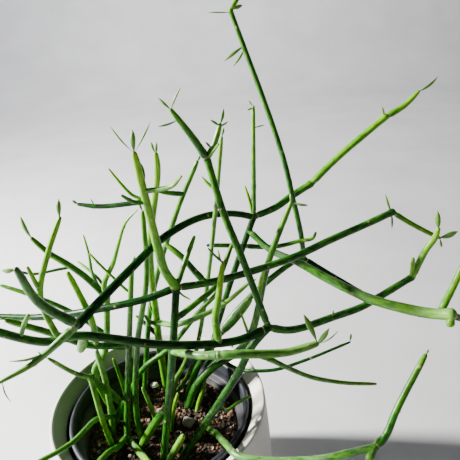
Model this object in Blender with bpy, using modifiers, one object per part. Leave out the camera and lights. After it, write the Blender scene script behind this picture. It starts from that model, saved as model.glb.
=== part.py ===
"""A potted euphorbia: pencil-stemmed milk bush in a nursery pot that stands inside a cream planter.

Units are metres, +Z is up. The origin is the centre of the planter's base, on the floor, and -Y is the
front. The clump's stems are routes that start in the soil or on another stem: a branch finds its own start
where it just clears the stem that bears it. Nothing moves, so there are no joints.
"""
import bpy
import bmesh
import numpy as np
from math import cos, pi, sin
from mathutils import Matrix, Vector

# ---- driving dimensions -------------------------------------------------------------------------------
TOUCH_GAP = 0.0003            # left between pieces that touch
ROUND_STEPS = 48              # facets round the pots

PLANTER_HEIGHT = 0.150
PLANTER_WALL = 0.006
PLANTER_FLOOR = 0.008
PLANTER_LIP_DROP = 0.010      # height of the inward-sloping lip below the rim
PLANTER_LIP_WIDTH = 0.010     # how far the lip reaches in from the rim
PLANTER_BELLY = 0.004         # the wall's swell at mid height, beyond the rim's radius
PLANTER_FOOT_INSET = 0.001    # the foot is this much narrower than the rim
PLANTER_HEEL = 0.005          # radius of the edge round the base
RIM_THICKNESS = 0.0015        # radius of the rim's rounded edge

NURSERY_RIM_RADIUS = 0.076
NURSERY_BASE_RADIUS = 0.054
NURSERY_WALL = 0.0014
NURSERY_COLLAR_HEIGHT = 0.022
NURSERY_ROLL = 0.0045         # width of the rolled rim
NURSERY_ROLL_DROP = 0.006     # how far the roll hangs down outside
NURSERY_COLLAR_STEP = 0.0055  # the body is this much narrower than its collar
NURSERY_RECESS = 0.007        # the nursery rim stands this far below the planter's rim
NURSERY_TO_LIP = 0.0024       # clearance between the nursery rim and the planter's lip
DRAIN_HOLE_RADIUS = 0.005
DRAIN_HOLE_COUNT = 5

SOIL_DROP = 0.026             # the soil's surface below the nursery rim

STEM_RADIUS = 0.0030          # a full-grown pencil stem
PLANT_HEIGHT = 0.348          # tip of the tallest shoot above the soil
ROUTE_STEP = 0.014            # spacing of a stem's rings
JOINT_GAP = 0.0004            # a branch starts this clear of the stem that bears it
JOINT_REACH = 0.030           # no joint is longer than this
TIP_SHARE = 0.4               # a growing point's girth as a share of its shoot's
LEAF_THICKNESS = 0.0008

# The stem routes below are in millimetres on a clump of this height over soil of this radius.
DRAWN_HEIGHT = 348.0
DRAWN_SOIL_RADIUS = 65.0
ABREAST = 2000 * STEM_RADIUS   # two full-grown stems side by side, in the routes' millimetres

# ---- sizes that follow ----------------------------------------------------------------------------------
PLANTER_RIM_RADIUS = NURSERY_RIM_RADIUS + NURSERY_TO_LIP + PLANTER_LIP_WIDTH + RIM_THICKNESS
NURSERY_COLLAR_RADIUS = NURSERY_RIM_RADIUS - NURSERY_ROLL + NURSERY_WALL
NURSERY_FOOT_Z = PLANTER_FLOOR + TOUCH_GAP
NURSERY_RIM_Z = PLANTER_HEIGHT - NURSERY_RECESS
SOIL_Z = NURSERY_RIM_Z - SOIL_DROP


def nursery_outer_radius(z):
    """Outer radius of the nursery pot's tapered body at a height."""
    body_top = NURSERY_RIM_Z - NURSERY_COLLAR_HEIGHT
    top_radius = NURSERY_COLLAR_RADIUS - NURSERY_COLLAR_STEP
    share = (z - NURSERY_FOOT_Z) / (body_top - NURSERY_FOOT_Z)
    return NURSERY_BASE_RADIUS + (top_radius - NURSERY_BASE_RADIUS) * share


SOIL_RADIUS = nursery_outer_radius(SOIL_Z) - NURSERY_WALL - TOUCH_GAP
SPREAD = SOIL_RADIUS / DRAWN_SOIL_RADIUS
RISE = PLANT_HEIGHT / DRAWN_HEIGHT


# ---- scene ----------------------------------------------------------------------------------------------
for old in list(bpy.data.objects):
    bpy.data.objects.remove(old, do_unlink=True)

parts = bpy.data.collections.new("potted_euphorbia")
cutters = bpy.data.collections.new("cutters")
bpy.context.scene.collection.children.link(parts)
bpy.context.scene.collection.children.link(cutters)


def material(name, colour, roughness):
    made = bpy.data.materials.new(name)
    made.use_nodes = True
    shader = made.node_tree.nodes["Principled BSDF"]
    shader.inputs["Base Color"].default_value = (*colour, 1.0)
    shader.inputs["Roughness"].default_value = roughness
    shader.inputs["Metallic"].default_value = 0.0
    return made


CREAM = material("cream_planter", (0.78, 0.75, 0.70), 0.7)
BLACK = material("black_plastic", (0.03, 0.035, 0.045), 0.5)
SOIL = material("gritty_soil", (0.10, 0.065, 0.045), 0.95)
PUMICE = material("pumice", (0.75, 0.72, 0.66), 0.9)
GREY_STONE = material("grey_stone", (0.30, 0.27, 0.23), 0.85)
GREEN = material("stem_green", (0.08, 0.22, 0.04), 0.45)
LIME = material("stem_lime", (0.28, 0.45, 0.05), 0.45)
PALE = material("stem_pale", (0.30, 0.48, 0.22), 0.5)
LEAF = material("leaf_green", (0.20, 0.38, 0.06), 0.5)


def turned(name, profile, surface):
    """A profile of (radius, z) points that starts and ends on the Z axis, turned about it."""
    mesh = bpy.data.meshes.new(name)
    sketch = bmesh.new()
    verts = [sketch.verts.new((radius, 0.0, z)) for radius, z in profile]
    for first, second in zip(verts, verts[1:]):
        sketch.edges.new((first, second))
    sketch.to_mesh(mesh)
    sketch.free()
    body = bpy.data.objects.new(name, mesh)
    parts.objects.link(body)
    screw = body.modifiers.new("turn", "SCREW")
    screw.axis = "Z"
    screw.angle = 2 * pi
    screw.steps = ROUND_STEPS
    screw.render_steps = ROUND_STEPS
    screw.use_merge_vertices = True
    screw.merge_threshold = 0.00005
    screw.use_smooth_shade = True
    body.data.materials.append(surface)
    return body


def arc(centre_radius, centre_z, radius, start, end, steps):
    """Points round a circle in the (radius, z) plane; angles in turns, 0 pointing out, 0.25 up."""
    angles = np.linspace(start, end, steps + 1) * 2 * pi
    return [(centre_radius + radius * cos(a), centre_z + radius * sin(a)) for a in angles]


# ---- holder and soil --------------------------------------------------------------------------------------
def planter():
    """Turned wall with a slight belly, a rounded rim and a conical lip that slopes in to the opening."""
    rim = PLANTER_RIM_RADIUS
    foot = rim - PLANTER_FOOT_INSET
    opening = NURSERY_RIM_RADIUS + NURSERY_TO_LIP
    lip_z = PLANTER_HEIGHT - PLANTER_LIP_DROP
    lip_edge = RIM_THICKNESS * 2
    shares = np.linspace(0.2, 0.8, 4)
    outside = [(rim + PLANTER_BELLY * sin(pi * share), PLANTER_HEIGHT * share) for share in shares]
    inside = [(radius - PLANTER_WALL, z) for radius, z in outside]
    heel = arc(foot - PLANTER_HEEL, PLANTER_HEEL, PLANTER_HEEL, 0.0, -0.25, 4)
    profile = [(0.0, PLANTER_FLOOR), (foot - PLANTER_WALL, PLANTER_FLOOR)]
    profile += inside
    profile += [(rim - PLANTER_WALL, lip_z - PLANTER_WALL), (opening, lip_z - lip_edge), (opening, lip_z)]
    profile += arc(rim - RIM_THICKNESS, PLANTER_HEIGHT - RIM_THICKNESS, RIM_THICKNESS, 0.375, 0.0, 3)
    profile += outside[::-1]
    profile += heel + [(0.0, 0.0)]
    return turned("planter", profile, CREAM)


def nursery_pot():
    """Thin tapered pot with a straight collar, a rolled rim and drain holes in its floor."""
    base_z = NURSERY_FOOT_Z
    top = NURSERY_RIM_Z
    body_top = top - NURSERY_COLLAR_HEIGHT
    collar = NURSERY_COLLAR_RADIUS
    body = nursery_outer_radius(body_top)
    roll_round = NURSERY_ROLL / 2
    roll_centre = NURSERY_RIM_RADIUS - roll_round
    profile = [
        (0.0, base_z + NURSERY_WALL),
        (NURSERY_BASE_RADIUS - NURSERY_WALL, base_z + NURSERY_WALL),
        (body - NURSERY_WALL, body_top + NURSERY_WALL),
        (collar - NURSERY_WALL, body_top + NURSERY_WALL * 2),
    ]
    profile += arc(roll_centre, top - roll_round, roll_round, 0.5, 0.0, 4)
    profile += [
        (NURSERY_RIM_RADIUS, top - NURSERY_ROLL_DROP),
        (collar, top - NURSERY_ROLL_DROP),
        (collar, body_top),
        (body, body_top - NURSERY_WALL),
        (NURSERY_BASE_RADIUS, base_z),
        (0.0, base_z),
    ]
    pot = turned("nursery_pot", profile, BLACK)
    for index in range(DRAIN_HOLE_COUNT):
        turn = 2 * pi * index / DRAIN_HOLE_COUNT
        ring = NURSERY_BASE_RADIUS * 0.6
        bpy.ops.mesh.primitive_cylinder_add(
            vertices=16,
            radius=DRAIN_HOLE_RADIUS,
            depth=NURSERY_WALL * 6,
            location=(ring * cos(turn), ring * sin(turn), base_z),
        )
        drill = bpy.context.object
        drill.name = f"drain_drill_{index}"
        drill.hide_render = True
        drill.display_type = "WIRE"
        for home in list(drill.users_collection):
            home.objects.unlink(drill)
        cutters.objects.link(drill)
        cut = pot.modifiers.new(f"drain_{index}", "BOOLEAN")
        cut.operation = "DIFFERENCE"
        cut.object = drill
    return pot


def soil():
    """The potting mix, which fills the nursery pot from its floor to the soil line."""
    floor_z = NURSERY_FOOT_Z + NURSERY_WALL + TOUCH_GAP
    foot = NURSERY_BASE_RADIUS - NURSERY_WALL - TOUCH_GAP * 2
    profile = [(0.0, SOIL_Z), (SOIL_RADIUS - TOUCH_GAP, SOIL_Z), (foot, floor_z), (0.0, floor_z)]
    return turned("soil", profile, SOIL)


def stone(name, where, size, surface, seed):
    """A worn lump, resting on the soil: an icosphere, squashed and roughened."""
    rough = np.random.default_rng(seed)
    mesh = bpy.data.meshes.new(name)
    lump = bmesh.new()
    bmesh.ops.create_icosphere(lump, subdivisions=2, radius=1.0)
    for vert in lump.verts:
        swell = 1.0 + rough.uniform(-0.12, 0.08)
        vert.co = Vector((vert.co.x * size[0], vert.co.y * size[1], vert.co.z * size[2])) * swell
    lowest = min(vert.co.z for vert in lump.verts)
    for vert in lump.verts:
        vert.co += Vector((where[0] * SPREAD, where[1] * SPREAD, SOIL_Z + TOUCH_GAP - lowest))
    lump.to_mesh(mesh)
    lump.free()
    body = bpy.data.objects.new(name, mesh)
    parts.objects.link(body)
    body.data.materials.append(surface)
    return body


# ---- stems ------------------------------------------------------------------------------------------------
routes = {}     # stem name: the whole smooth line, joint included, as an array of points
tubes = {}      # stem name: (points, radii) of the tube that was built
bearers = {}    # stem name: the stem that bears it


def place(point):
    """A drawn point, in millimetres from the middle of the soil's surface, in the object's own frame."""
    x, y, z = point
    return np.array((x * SPREAD, y * SPREAD, z * RISE)) + (0.0, 0.0, SOIL_Z)


def smooth_line(points, per_span=24):
    """A centripetal Catmull-Rom curve through the points."""
    points = [np.asarray(point, dtype=float) for point in points]
    line = [2 * points[0] - points[1]] + points + [2 * points[-1] - points[-2]]
    out = []
    for a, b, c, d in zip(line, line[1:], line[2:], line[3:]):
        ta = 0.0
        tb = ta + np.linalg.norm(b - a) ** 0.5
        tc = tb + np.linalg.norm(c - b) ** 0.5
        td = tc + np.linalg.norm(d - c) ** 0.5
        for t in np.linspace(tb, tc, per_span, endpoint=False):
            ab = a + (b - a) * (t - ta) / (tb - ta)
            bc = b + (c - b) * (t - tb) / (tc - tb)
            cd = c + (d - c) * (t - tc) / (td - tc)
            abc = ab + (bc - ab) * (t - ta) / (tc - ta)
            bcd = bc + (cd - bc) * (t - tb) / (td - tb)
            out.append(abc + (bcd - abc) * (t - tb) / (tc - tb))
    out.append(points[-1])
    return np.array(out)


def lengths_along(line):
    return np.concatenate(([0.0], np.cumsum(np.linalg.norm(np.diff(line, axis=0), axis=1))))


def point_at(line, distance):
    along = lengths_along(line)
    return np.array([np.interp(distance, along, line[:, axis]) for axis in range(3)])


def end_disc(line, distance, radius):
    """Points spread over the flat end that a tube would have if it started here."""
    centre = point_at(line, distance)
    ahead = Vector(point_at(line, distance + ROUTE_STEP) - centre).normalized()
    side = ahead.orthogonal().normalized()
    other = ahead.cross(side)
    spread = [centre]
    for share in (0.25, 0.5, 0.7, 0.85, 1.0):
        for turn in np.arange(12) * pi / 6:
            spread.append(centre + radius * share * np.array(cos(turn) * side + sin(turn) * other))
    return np.array(spread)


def clearance(points, tube):
    """Least distance from the points to a flat-ended tube."""
    centres, radii = tube
    gaps = np.linalg.norm(points[:, None] - centres[None], axis=2)
    nearest = gaps.argmin(axis=1)
    away = gaps[np.arange(len(points)), nearest]
    clear = away - radii[nearest]
    ahead = centres[-1] - centres[-2]
    ahead /= np.linalg.norm(ahead)
    beyond = (points - centres[-1]) @ ahead
    past_end = (nearest == len(centres) - 1) & (beyond > 0)
    aside = np.sqrt(np.maximum(away ** 2 - beyond ** 2, 0.0)) - radii[-1]
    clear = np.where(past_end, np.hypot(beyond, np.maximum(aside, 0.0)), clear)
    return clear.min()


def start_distance(line, radius, neighbours):
    """How far along its line a stem starts, so that it clears the soil and the stems at its joint."""
    reach = min(JOINT_REACH, lengths_along(line)[-1] * 0.8)
    start = reach
    for distance in np.arange(reach, 0.0, -0.0003):
        disc = end_disc(line, distance, radius)
        if disc[:, 2].min() < SOIL_Z + TOUCH_GAP:
            break
        if any(clearance(disc, tube) < JOINT_GAP for tube in neighbours):
            break
        start = distance
    return start


def stem(name, surface, bearer, share, girth, points, tip=False):
    """One segment between two joints.

    bearer is the stem it grows from, and share how far along that stem the joint sits; a main stem has
    None and 0, and its first point is on the soil. girth is its radius at the start and at the end, as
    shares of a full pencil stem. A tip narrows to its growing point.
    """
    placed = [place(point) for point in points]
    if bearer:
        borne = routes[bearer]
        placed.insert(0, point_at(borne, lengths_along(borne)[-1] * share))
    line = smooth_line(placed)
    routes[name] = line
    bearers[name] = bearer
    near = [other for other in tubes if other == bearer or (bearer and bearers[other] == bearer)]
    start = start_distance(line, STEM_RADIUS * girth[0], [tubes[other] for other in near])
    whole = lengths_along(line)[-1]
    rings = max(2, round((whole - start) / ROUTE_STEP))
    stations = list(np.linspace(start, whole, rings + 1))
    if tip:
        stations.insert(-1, whole - STEM_RADIUS * girth[1])
    scale = [np.interp(at, (start, whole), girth) for at in stations]
    if tip:
        scale[-1] *= TIP_SHARE
    centres = np.array([point_at(line, at) for at in stations])
    between = np.linspace(0, len(stations) - 1, (len(stations) - 1) * 16 + 1)
    tubes[name] = (
        np.stack([np.interp(between, range(len(stations)), centres[:, axis]) for axis in range(3)], axis=1),
        STEM_RADIUS * np.interp(between, range(len(stations)), scale),
    )
    curve = bpy.data.curves.new(name, "CURVE")
    curve.dimensions = "3D"
    curve.bevel_depth = STEM_RADIUS
    curve.bevel_resolution = 2
    curve.use_fill_caps = True
    spline = curve.splines.new("POLY")
    spline.points.add(len(stations) - 1)
    for ring, centre, wide in zip(spline.points, centres, scale):
        ring.co = (*centre, 1.0)
        ring.radius = wide
    curve.materials.append(surface)
    body = bpy.data.objects.new(name, curve)
    parts.objects.link(body)
    return body


def leaf(name, bearer, tip_point, width):
    """A narrow blade that grows from the end of a shoot towards its own tip."""
    foot = routes[bearer][-1]
    tip = place(tip_point)
    reach = Vector(tip - foot)
    along = reach.normalized()
    flat = along.cross(Vector((0.0, 1.0, 0.0))).normalized()
    up = along.cross(flat)
    start = STEM_RADIUS * 1.1
    length = reach.length - start
    curve = bpy.data.curves.new(name, "CURVE")
    curve.dimensions = "2D"
    curve.fill_mode = "BOTH"
    curve.extrude = LEAF_THICKNESS / 2
    curve.resolution_u = 1
    spline = curve.splines.new("POLY")
    shares = np.linspace(0.0, 1.0, 6)
    half = [(length * s, width / 2 * (0.25 + 0.75 * sin(pi * s) - 0.2 * s)) for s in shares]
    outline = half + [(x, -y) for x, y in half[::-1]]
    spline.points.add(len(outline) - 1)
    for corner, (x, y) in zip(spline.points, outline):
        corner.co = (x, y, 0.0, 1.0)
    spline.use_cyclic_u = True
    curve.materials.append(LEAF)
    blade = bpy.data.objects.new(name, curve)
    turn = Matrix((along, flat, up)).transposed().to_4x4()
    blade.matrix_world = Matrix.Translation(Vector(foot) + along * start) @ turn
    parts.objects.link(blade)
    return blade


planter()
nursery_pot()
soil()
stone("white_pumice", (-13, 50), (0.0045, 0.0036, 0.0034), PUMICE, 3)
stone("grey_stone", (22, 0), (0.0062, 0.0056, 0.0048), GREY_STONE, 5)

# Front right: a main stem that forks into a left arm across the front, a riser and a right arm.
stem("front_right_main", GREEN, None, 0, (1.0, 0.97),
     [(18, -33, 0), (39, -30, 32), (69, -24, 79), (80, -22, 101), (93, -20, 116)])
stem("front_left_arm", GREEN, "front_right_main", 1, (1.0, 0.93),
     [(72, -28, 113), (50, -36, 117), (16, -44, 126), (-33, -56, 147), (-54, -60, 147), (-86, -70, 169)],
     tip=True)
stem("centre_riser", GREEN, "front_right_main", 1, (0.87, 0.83), [(76, -6, 171), (66, 2, 200), (57, 12, 238)])
stem("centre_riser_tip", GREEN, "centre_riser", 1, (0.93, 0.6), [(50, 10, 252), (36, 5, 276)], tip=True)
stem("centre_riser_fork", PALE, "centre_riser", 1, (0.73, 0.6), [(63, 14, 249), (68, 16, 262)], tip=True)
stem("right_low_arm", GREEN, "front_right_main", 1, (0.97, 0.93),
     [(106, -18, 111), (118, -13, 108), (143, -4, 109), (169, 6, 110), (184, 12, 114), (214, 24, 123)])
stem("right_low_arm_tip", LIME, "right_low_arm", 1, (0.97, 0.7),
     [(222, 22, 149), (227, 21, 159), (229, 20, 169)], tip=True)
stem("lime_shoot", LIME, "front_left_arm", 0.2, (0.97, 0.6),
     [(55, -30, 135), (58, -28, 148), (63, -22, 175)], tip=True)
stem("left_upright_shoot", LIME, "front_left_arm", 0.75, (0.67, 0.53),
     [(-51, -55, 169), (-51, -53, 181), (-41, -49, 207), (-31, -45, 227)], tip=True)

# Front centre: the upright stem with the thick bright riser and the long arms to both sides.
stem("front_centre_main", GREEN, None, 0, (1.0, 0.97),
     [(3, -34, 0), (12, -30, 50), (21, -25, 103), (28, -12, 151)])
stem("bright_riser", LIME, "front_centre_main", 1, (1.1, 0.75),
     [(22, -16, 168), (20, -18, 186), (18, -22, 214), (15, -28, 259)], tip=True)
stem("right_long_arm", GREEN, "front_centre_main", 1, (0.93, 0.95),
     [(45, -8, 150), (67, 0, 149), (115, 16, 153), (148, 27, 161), (182, 39, 168), (201, 45, 173)])
stem("right_long_arm_tip", LIME, "right_long_arm", 1, (0.7, 0.57),
     [(214, 43, 164), (235, 39, 152), (240, 37, 150)], tip=True)
stem("left_long_arm", GREEN, "front_centre_main", 1, (0.93, 0.83),
     [(8, -14, 145), (-22, -12, 138), (-80, 7, 120), (-139, 24, 113)], tip=True)
stem("front_pale_arm", PALE, "front_centre_main", 0.68, (0.87, 0.97),
     [(33, -35 - ABREAST, 114), (44, -44 - ABREAST, 119), (55, -48 - ABREAST, 122)])
stem("front_pale_arm_tip", PALE, "front_pale_arm", 1, (1.03, 0.87),
     [(71, -49 - ABREAST, 122), (102, -49, 116), (126, -44, 118)], tip=True)
stem("centre_cross_arm", GREEN, "front_centre_main", 0.84, (0.8, 0.53),
     [(44, -6, 135), (55, 1, 141), (71, 20, 168)], tip=True)
stem("bright_riser_side_shoot", GREEN, "bright_riser", 0.68, (0.57, 0.5),
     [(-15, -14, 219), (-31, -10, 220)], tip=True)

# Back right: a main stem whose head carries the crossing arm, the long high arm and a riser.
stem("back_right_main", GREEN, None, 0, (0.9, 0.87),
     [(26, 38, 0), (41, 40, 31), (47, 48, 51), (66, 53, 109), (90, 60, 170)])
stem("left_crossing_arm", GREEN, "back_right_main", 1, (0.9, 0.97),
     [(71, 45, 181), (48, 26, 188), (23, 2, 186), (1, -29, 178), (-24, -76, 170)])
stem("left_near_tip", GREEN, "left_crossing_arm", 1, (1.0, 0.67),
     [(-39, -84, 192), (-43, -92, 220)], tip=True)
stem("left_low_tip", PALE, "left_crossing_arm", 1, (0.87, 0.33),
     [(-50, -89, 154), (-70, -100, 149)], tip=True)
stem("right_high_arm", GREEN, "back_right_main", 1, (0.97, 0.97),
     [(109, 63, 176), (122, 65, 184), (139, 68, 193)])
stem("right_high_arm_middle", LIME, "right_high_arm", 1, (0.97, 0.9), [(162, 73, 213), (201, 80, 242)])
stem("right_high_arm_tip", LIME, "right_high_arm_middle", 1, (0.87, 0.6),
     [(216, 83, 249), (229, 86, 260)], tip=True)
stem("back_riser", PALE, "back_right_main", 1, (0.7, 0.5), [(92, 66, 217), (94, 72, 260)], tip=True)
stem("right_pale_arm", PALE, "back_right_main", 0.93, (0.9, 1.37),
     [(102, 44, 146), (122, 32, 140), (146, 15, 131), (173, -4, 124),
      (192, -16, 123), (209, -28, 125), (220, -36, 129)])
stem("right_pale_arm_fork", LIME, "right_pale_arm", 0.95, (0.87, 0.7),
     [(224, -24, 143), (234, -18, 165)], tip=True)

# Back centre: the stem that carries the tallest riser.
stem("back_centre_main", GREEN, None, 0, (1.05, 0.83),
     [(16, 35, 0), (23, 33, 15), (35, 33, 42), (74, 44, 91), (120, 57, 124), (132, 60, 127)])
stem("tall_riser", GREEN, "back_centre_main", 1, (0.77, 0.6),
     [(129, 56, 152), (121, 52, 191), (116, 54, 216), (106, 57, 251), (80, 64, 329)])
stem("tall_riser_tip", LIME, "tall_riser", 1, (0.57, 0.3), [(85, 65, 336), (94, 66, 348)], tip=True)
stem("right_dark_arm", GREEN, "back_centre_main", 1, (0.77, 0.63), [(155, 56, 111), (186, 50, 91)], tip=True)
stem("speckled_main", GREEN, None, 0, (1.3, 0.7),
     [(21, 24, 0), (30, 25, 22), (48, 27, 42), (68, 26, 56),
      (81, 26, 74), (99, 32, 142), (119, 38, 192)], tip=True)
stem("right_hanging_arm", GREEN, "speckled_main", 0.27, (0.57, 0.37),
     [(67, 22, 42), (79, 12, 47), (100, 7, 51), (125, 7, 59), (162, 5, 77)], tip=True)

# Back and middle: slender uprights.
stem("back_slender_main", PALE, None, 0, (0.7, 0.5),
     [(8, 40, 0), (24, 38, 27), (38, 34, 77), (57, 24, 178), (68, 22, 251)], tip=True)
stem("back_left_main", GREEN, None, 0, (0.83, 0.63),
     [(-22, 41, 0), (-1, 39, 108), (30, 37, 191), (49, 36, 230)], tip=True)
stem("lime_main", LIME, None, 0, (1.15, 0.73),
     [(-2, 51, 0), (-1, 43, 52), (1, 37, 86), (7, 21, 165), (23, 4, 235), (24, 0, 249)], tip=True)
stem("pale_cross_arm", PALE, "lime_main", 0.34, (0.87, 0.53),
     [(24, 12, 101), (59, 14, 115), (83, 18, 133)], tip=True)
stem("back_cross_main", GREEN, None, 0, (0.87, 0.6),
     [(-38, 36, 0), (-17, 34, 38), (8, 30, 61), (41, 21, 107), (54, 22, 120), (62, 22, 136)], tip=True)

# Left: uprights near the front left rim, and the arms that leave them.
stem("left_front_main", GREEN, None, 0, (0.93, 0.63),
     [(-30, -11, 0), (-26, -8, 31), (-15, 0, 102), (-5, 6, 163)], tip=True)
stem("left_speckled_arm", GREEN, "left_front_main", 0.57, (0.97, 0.8),
     [(-48, -2, 97), (-71, -3, 110), (-105, -5, 128)], tip=True)
stem("left_centre_main", GREEN, None, 0, (0.87, 0.6),
     [(-18, -12, 0), (-18, -10, 33), (-9, -5, 96), (5, 0, 152), (9, 5, 206)], tip=True)
stem("left_back_main", LIME, None, 0, (0.95, 0.85),
     [(-47, 20, 0), (-54, 16, 54), (-42, 16, 75), (-31, 15, 129)])
stem("left_back_arm", GREEN, "left_back_main", 1, (0.93, 0.7),
     [(-46, 20, 146), (-57, 22, 156), (-72, 26, 166), (-85, 30, 179)], tip=True)
stem("left_back_low_arm", GREEN, "left_back_main", 0.72, (0.73, 0.53),
     [(-66, 23, 113), (-96, 29, 127), (-122, 35, 135)], tip=True)
stem("left_low_main", LIME, None, 0, (0.73, 0.67), [(-41, -18, 0), (-38, -35, 50), (-43, -26, 85)])
stem("left_low_main_tip", PALE, "left_low_main", 1, (0.63, 0.47), [(-53, -28, 92), (-68, -32, 111)], tip=True)

# Low stems that lean out over the rims.
stem("left_rim_stem", GREEN, None, 0, (0.7, 0.6),
     [(-36, 17, 0), (-42, -8, 25), (-46, -30, 45), (-56, -61, 55), (-78, -79, 57)], tip=True)
stem("front_low_stem", GREEN, "left_front_main", 0.03, (0.87, 0.63),
     [(-33, -29, 13), (-36, -48, 28), (-41, -87, 48), (-46, -111, 63)], tip=True)
stem("right_rim_stem", PALE, None, 0, (0.83, 0.83),
     [(39, -4, 0), (47, -27, 19), (56, -57, 41), (66, -74, 47), (113, -87, 55), (154, -92, 69)])
stem("right_rim_stem_tip", GREEN, "right_rim_stem", 1, (0.83, 0.67),
     [(162, -88, 75), (170, -81, 89), (192, -65, 121)], tip=True)

# The largest of the small leaves at the growing points.
leaf("bright_riser_leaf", "bright_riser", (17, -28, 272), 0.0026)
leaf("right_low_leaf", "right_low_arm_tip", (226, 20, 183), 0.0034)
leaf("right_long_leaf", "right_long_arm_tip", (252, 35, 156), 0.0044)
leaf("front_pale_leaf", "front_pale_arm_tip", (118, -44, 143), 0.0034)
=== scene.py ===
from math import cos, pi, sin

import bpy
import bmesh
import numpy as np
from mathutils import Matrix, Vector, noise


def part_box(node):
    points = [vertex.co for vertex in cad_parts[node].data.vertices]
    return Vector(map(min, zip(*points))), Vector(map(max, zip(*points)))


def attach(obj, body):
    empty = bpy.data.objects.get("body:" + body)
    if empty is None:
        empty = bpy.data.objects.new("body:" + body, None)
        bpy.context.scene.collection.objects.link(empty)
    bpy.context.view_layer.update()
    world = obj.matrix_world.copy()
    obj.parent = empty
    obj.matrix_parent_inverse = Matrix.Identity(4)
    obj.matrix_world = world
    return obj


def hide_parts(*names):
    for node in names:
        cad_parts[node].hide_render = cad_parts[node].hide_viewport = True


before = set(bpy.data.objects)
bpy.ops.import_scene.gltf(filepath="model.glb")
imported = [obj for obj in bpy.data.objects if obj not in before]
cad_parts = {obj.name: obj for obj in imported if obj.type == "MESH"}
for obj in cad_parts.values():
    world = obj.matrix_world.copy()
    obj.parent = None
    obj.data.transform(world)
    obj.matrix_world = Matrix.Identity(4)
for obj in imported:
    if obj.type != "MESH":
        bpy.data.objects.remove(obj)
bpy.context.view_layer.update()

MM = 0.001
SOIL_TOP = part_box("soil")[1].z
RIM_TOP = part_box("planter")[1].z
POT_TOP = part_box("nursery_pot")[1].z
POT_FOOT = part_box("nursery_pot")[0].z

# ---- camera ---------------------------------------------------------------------------------------------
CAMERA_AT = (0.0697, -0.3208, RIM_TOP + 0.3118)
CAMERA_PITCH = 25.98          # degrees below the horizon, looking along +Y
CAMERA_ROLL = -3.8            # degrees
CAMERA_LENS = 39.13           # mm on a 36 mm sensor

# ---- holder: the same sizes as the solids ---------------------------------------------------------------
ROUND_STEPS = 192
PLANTER_WALL = 0.006
PLANTER_FLOOR = 0.008
PLANTER_LIP_DROP = 0.010
PLANTER_LIP_WIDTH = 0.010
PLANTER_BELLY = 0.004
PLANTER_FOOT_INSET = 0.001
PLANTER_HEEL = 0.005
PLANTER_CORNER = 0.006        # rounding between its floor and wall, inside
LIP_EDGE = 0.0012             # rounding of the lip's inner edge
FLAT_CENTRE = 0.03            # the floor's middle facets reach this far out
RIM_THICKNESS = 0.0015
POT_RIM_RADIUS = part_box("nursery_pot")[1].x
POT_BASE_RADIUS = 0.054
POT_WALL = 0.0014
POT_COLLAR_HEIGHT = 0.022
POT_ROLL = 0.0045
POT_ROLL_DROP = 0.006
POT_COLLAR_STEP = 0.0055
POT_RING_DROP = 0.011         # a moulded ring inside the collar, this far below the rim
POT_EASE = 0.0009             # rounding of its corners
POT_FLAT_CENTRE = 0.02
POT_TO_LIP = 0.0024
DRAIN_HOLE_RADIUS = 0.005
DRAIN_HOLE_COUNT = 5
LIP_OPENING = POT_RIM_RADIUS + POT_TO_LIP
PLANTER_RIM_RADIUS = LIP_OPENING + PLANTER_LIP_WIDTH + RIM_THICKNESS

# ---- soil -----------------------------------------------------------------------------------------------
TOUCH_GAP = 0.0003
SOIL_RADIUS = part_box("soil")[1].x
SOIL_FOOT_RADIUS = POT_BASE_RADIUS - POT_WALL - 2 * TOUCH_GAP
SOIL_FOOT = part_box("soil")[0].z
SOIL_SINK = 0.0016            # the fine soil lies this far below the tops of the grains
SOIL_HEAP = 0.0016            # height of its slow rise and fall
SOIL_LUMP = 0.0010            # height of its small lumps
GRAIN_ROOM = 0.0006           # the grains stay this clear of the pot's wall

# ---- plant ----------------------------------------------------------------------------------------------
STEM_RADIUS = 0.0030          # a full-grown pencil stem
DRAWN_SOIL_RADIUS = 65.0      # the routes below are in millimetres over soil of this radius
ABREAST = 2000 * STEM_RADIUS  # two full-grown stems side by side, in the routes' millimetres
SPREAD = (SOIL_RADIUS + TOUCH_GAP) / DRAWN_SOIL_RADIUS
RING_STEP = 0.0011            # spacing of a skin's rings along the stem
RING_SIDES = 20
ROOT_DEPTH = 0.007            # a main stem's skin goes this far into the soil
LEAF_THICKNESS = 0.0005
LEAF_SINK = 0.0012            # a leaf at the very end of a shoot starts this far inside it
LEAF_ARCH = 0.10              # how far it arches back and curls up, as shares of its length
LEAF_CURL = 0.06
LEAF_FOLD = 0.28              # rise of its edges over the midrib, as a share of its half width
GROWING_TAPER = 0.009         # length over which a shoot narrows to its growing point
KNUCKLE_REACH = 0.0035        # half the length of the swelling at a joint
CREASE_REACH = 0.0007         # half the length of the crease where a branch leaves its bearer
SCAR_HEIGHT = 0.00085         # a leaf scar's half height, half width and rise from the skin
SCAR_WIDTH = 0.0010
SCAR_RISE = 0.00038
SCAR_FIRST = (0.006, 0.014)   # from a joint to the first scar, and from scar to scar
SCAR_SPACING = (0.011, 0.024)
SCAR_TURN = 2.4               # radians round the stem from one scar to the next
GREEN_SCATTER = (0.5, 1.0, 0.15)   # how far red, green and blue travel inside the skin, as proportions
YOUNG_HEIGHT = 0.26           # this far over the soil and higher, the skin is at its youngest

GREEN = "stem_green"
LIME = "stem_lime"
PALE = "stem_pale"


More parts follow.
